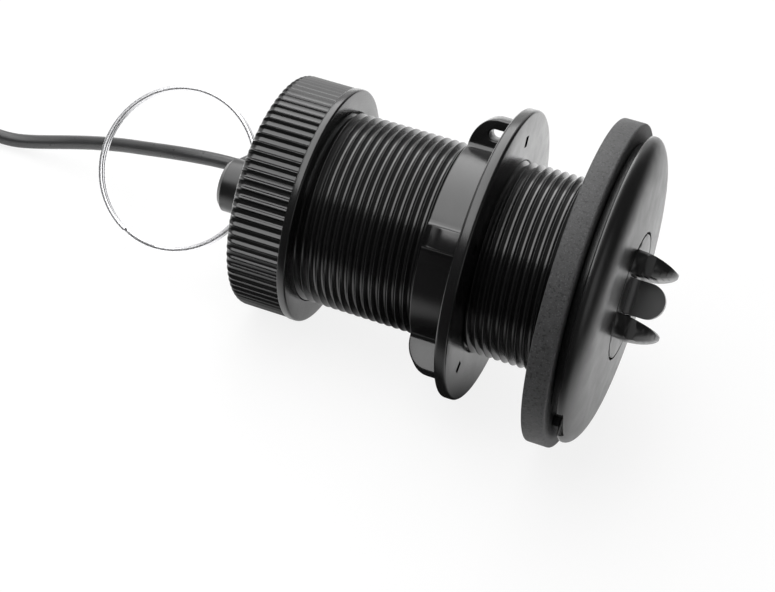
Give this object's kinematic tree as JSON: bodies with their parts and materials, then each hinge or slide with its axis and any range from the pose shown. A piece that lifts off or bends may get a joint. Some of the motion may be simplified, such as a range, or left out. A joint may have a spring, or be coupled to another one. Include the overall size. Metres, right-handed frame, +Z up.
{
  "type": "through-hull paddlewheel transducer",
  "caption": "Through-hull transducer lying on its side: threaded stem, domed flange, winged hull nut, knurled cap nut, paddlewheel insert, pull ring and coiled cable.",
  "frame": {"origin": "on the stem's axis, level with the flange ring's inboard face, which seats on the hull", "axes": "+Z up as it rests, +X along the stem's horizontal run, towards the domed end"},
  "size_m": [0.2303, 0.089, 0.07],
  "materials": {
    "black_plastic": "moulded, satin",
    "ring_rubber": "matte, speckled",
    "seal_rubber": "smooth",
    "stainless_steel": "ground",
    "magnet_steel": "plated",
    "board_laminate": "solder mask",
    "chip_resin": "matte",
    "potting_resin": "cast",
    "boot_rubber": "satin",
    "cable_jacket": "smooth jacket",
    "tie_fabric": "woven",
    "plug_plastic": "satin",
    "contact_brass": "gold plated"
  },
  "bodies": {
    "transducer": {"housing": "black_plastic", "flange_ring": "ring_rubber", "insert_body": "black_plastic", "end_cover": "black_plastic", "nose_o_rings": "seal_rubber", "head_o_ring": "seal_rubber", "valve_sleeve": "black_plastic", "valve_flap": "black_plastic", "flap_pin": "stainless_steel", "wheel_axle": "stainless_steel", "circuit_board": "board_laminate", "speed_sensor": "chip_resin", "potting": "potting_resin", "strain_relief": "boot_rubber", "cable_tube": "cable_jacket", "cable_coil": "cable_jacket", "coil_tie": "tie_fabric", "cable_tail": "cable_jacket", "connector_body": "plug_plastic", "contact_pins": "contact_brass"},
    "hull_nut": {"hull_nut": "black_plastic"},
    "cap_nut": {"cap_nut": "black_plastic"},
    "paddlewheel": {"paddlewheel": "black_plastic", "wheel_magnets": "magnet_steel"},
    "pull_ring": {"pull_ring": "stainless_steel"}
  },
  "joints": [
    {"name": "hull_nut_turn", "type": "hinge", "parent": "transducer", "child": "hull_nut", "pos_m": [0, 0, 0], "axis": [0.9906, 0, 0.1364], "continuous": true},
    {"name": "cap_nut_turn", "type": "hinge", "parent": "transducer", "child": "cap_nut", "pos_m": [0, 0, 0], "axis": [0.9906, 0, 0.1364], "continuous": true},
    {"name": "paddlewheel_spin", "type": "hinge", "parent": "transducer", "child": "paddlewheel", "pos_m": [0.00981, 0, 0.00135], "axis": [-0.1082, 0.6088, 0.7859], "continuous": true},
    {"name": "pull_ring_swing", "type": "hinge", "parent": "transducer", "child": "pull_ring", "pos_m": [-0.07331, 0, -0.0101], "axis": [-0.1082, 0.6088, 0.7859], "range_deg": [-14, 85]}
  ]
}
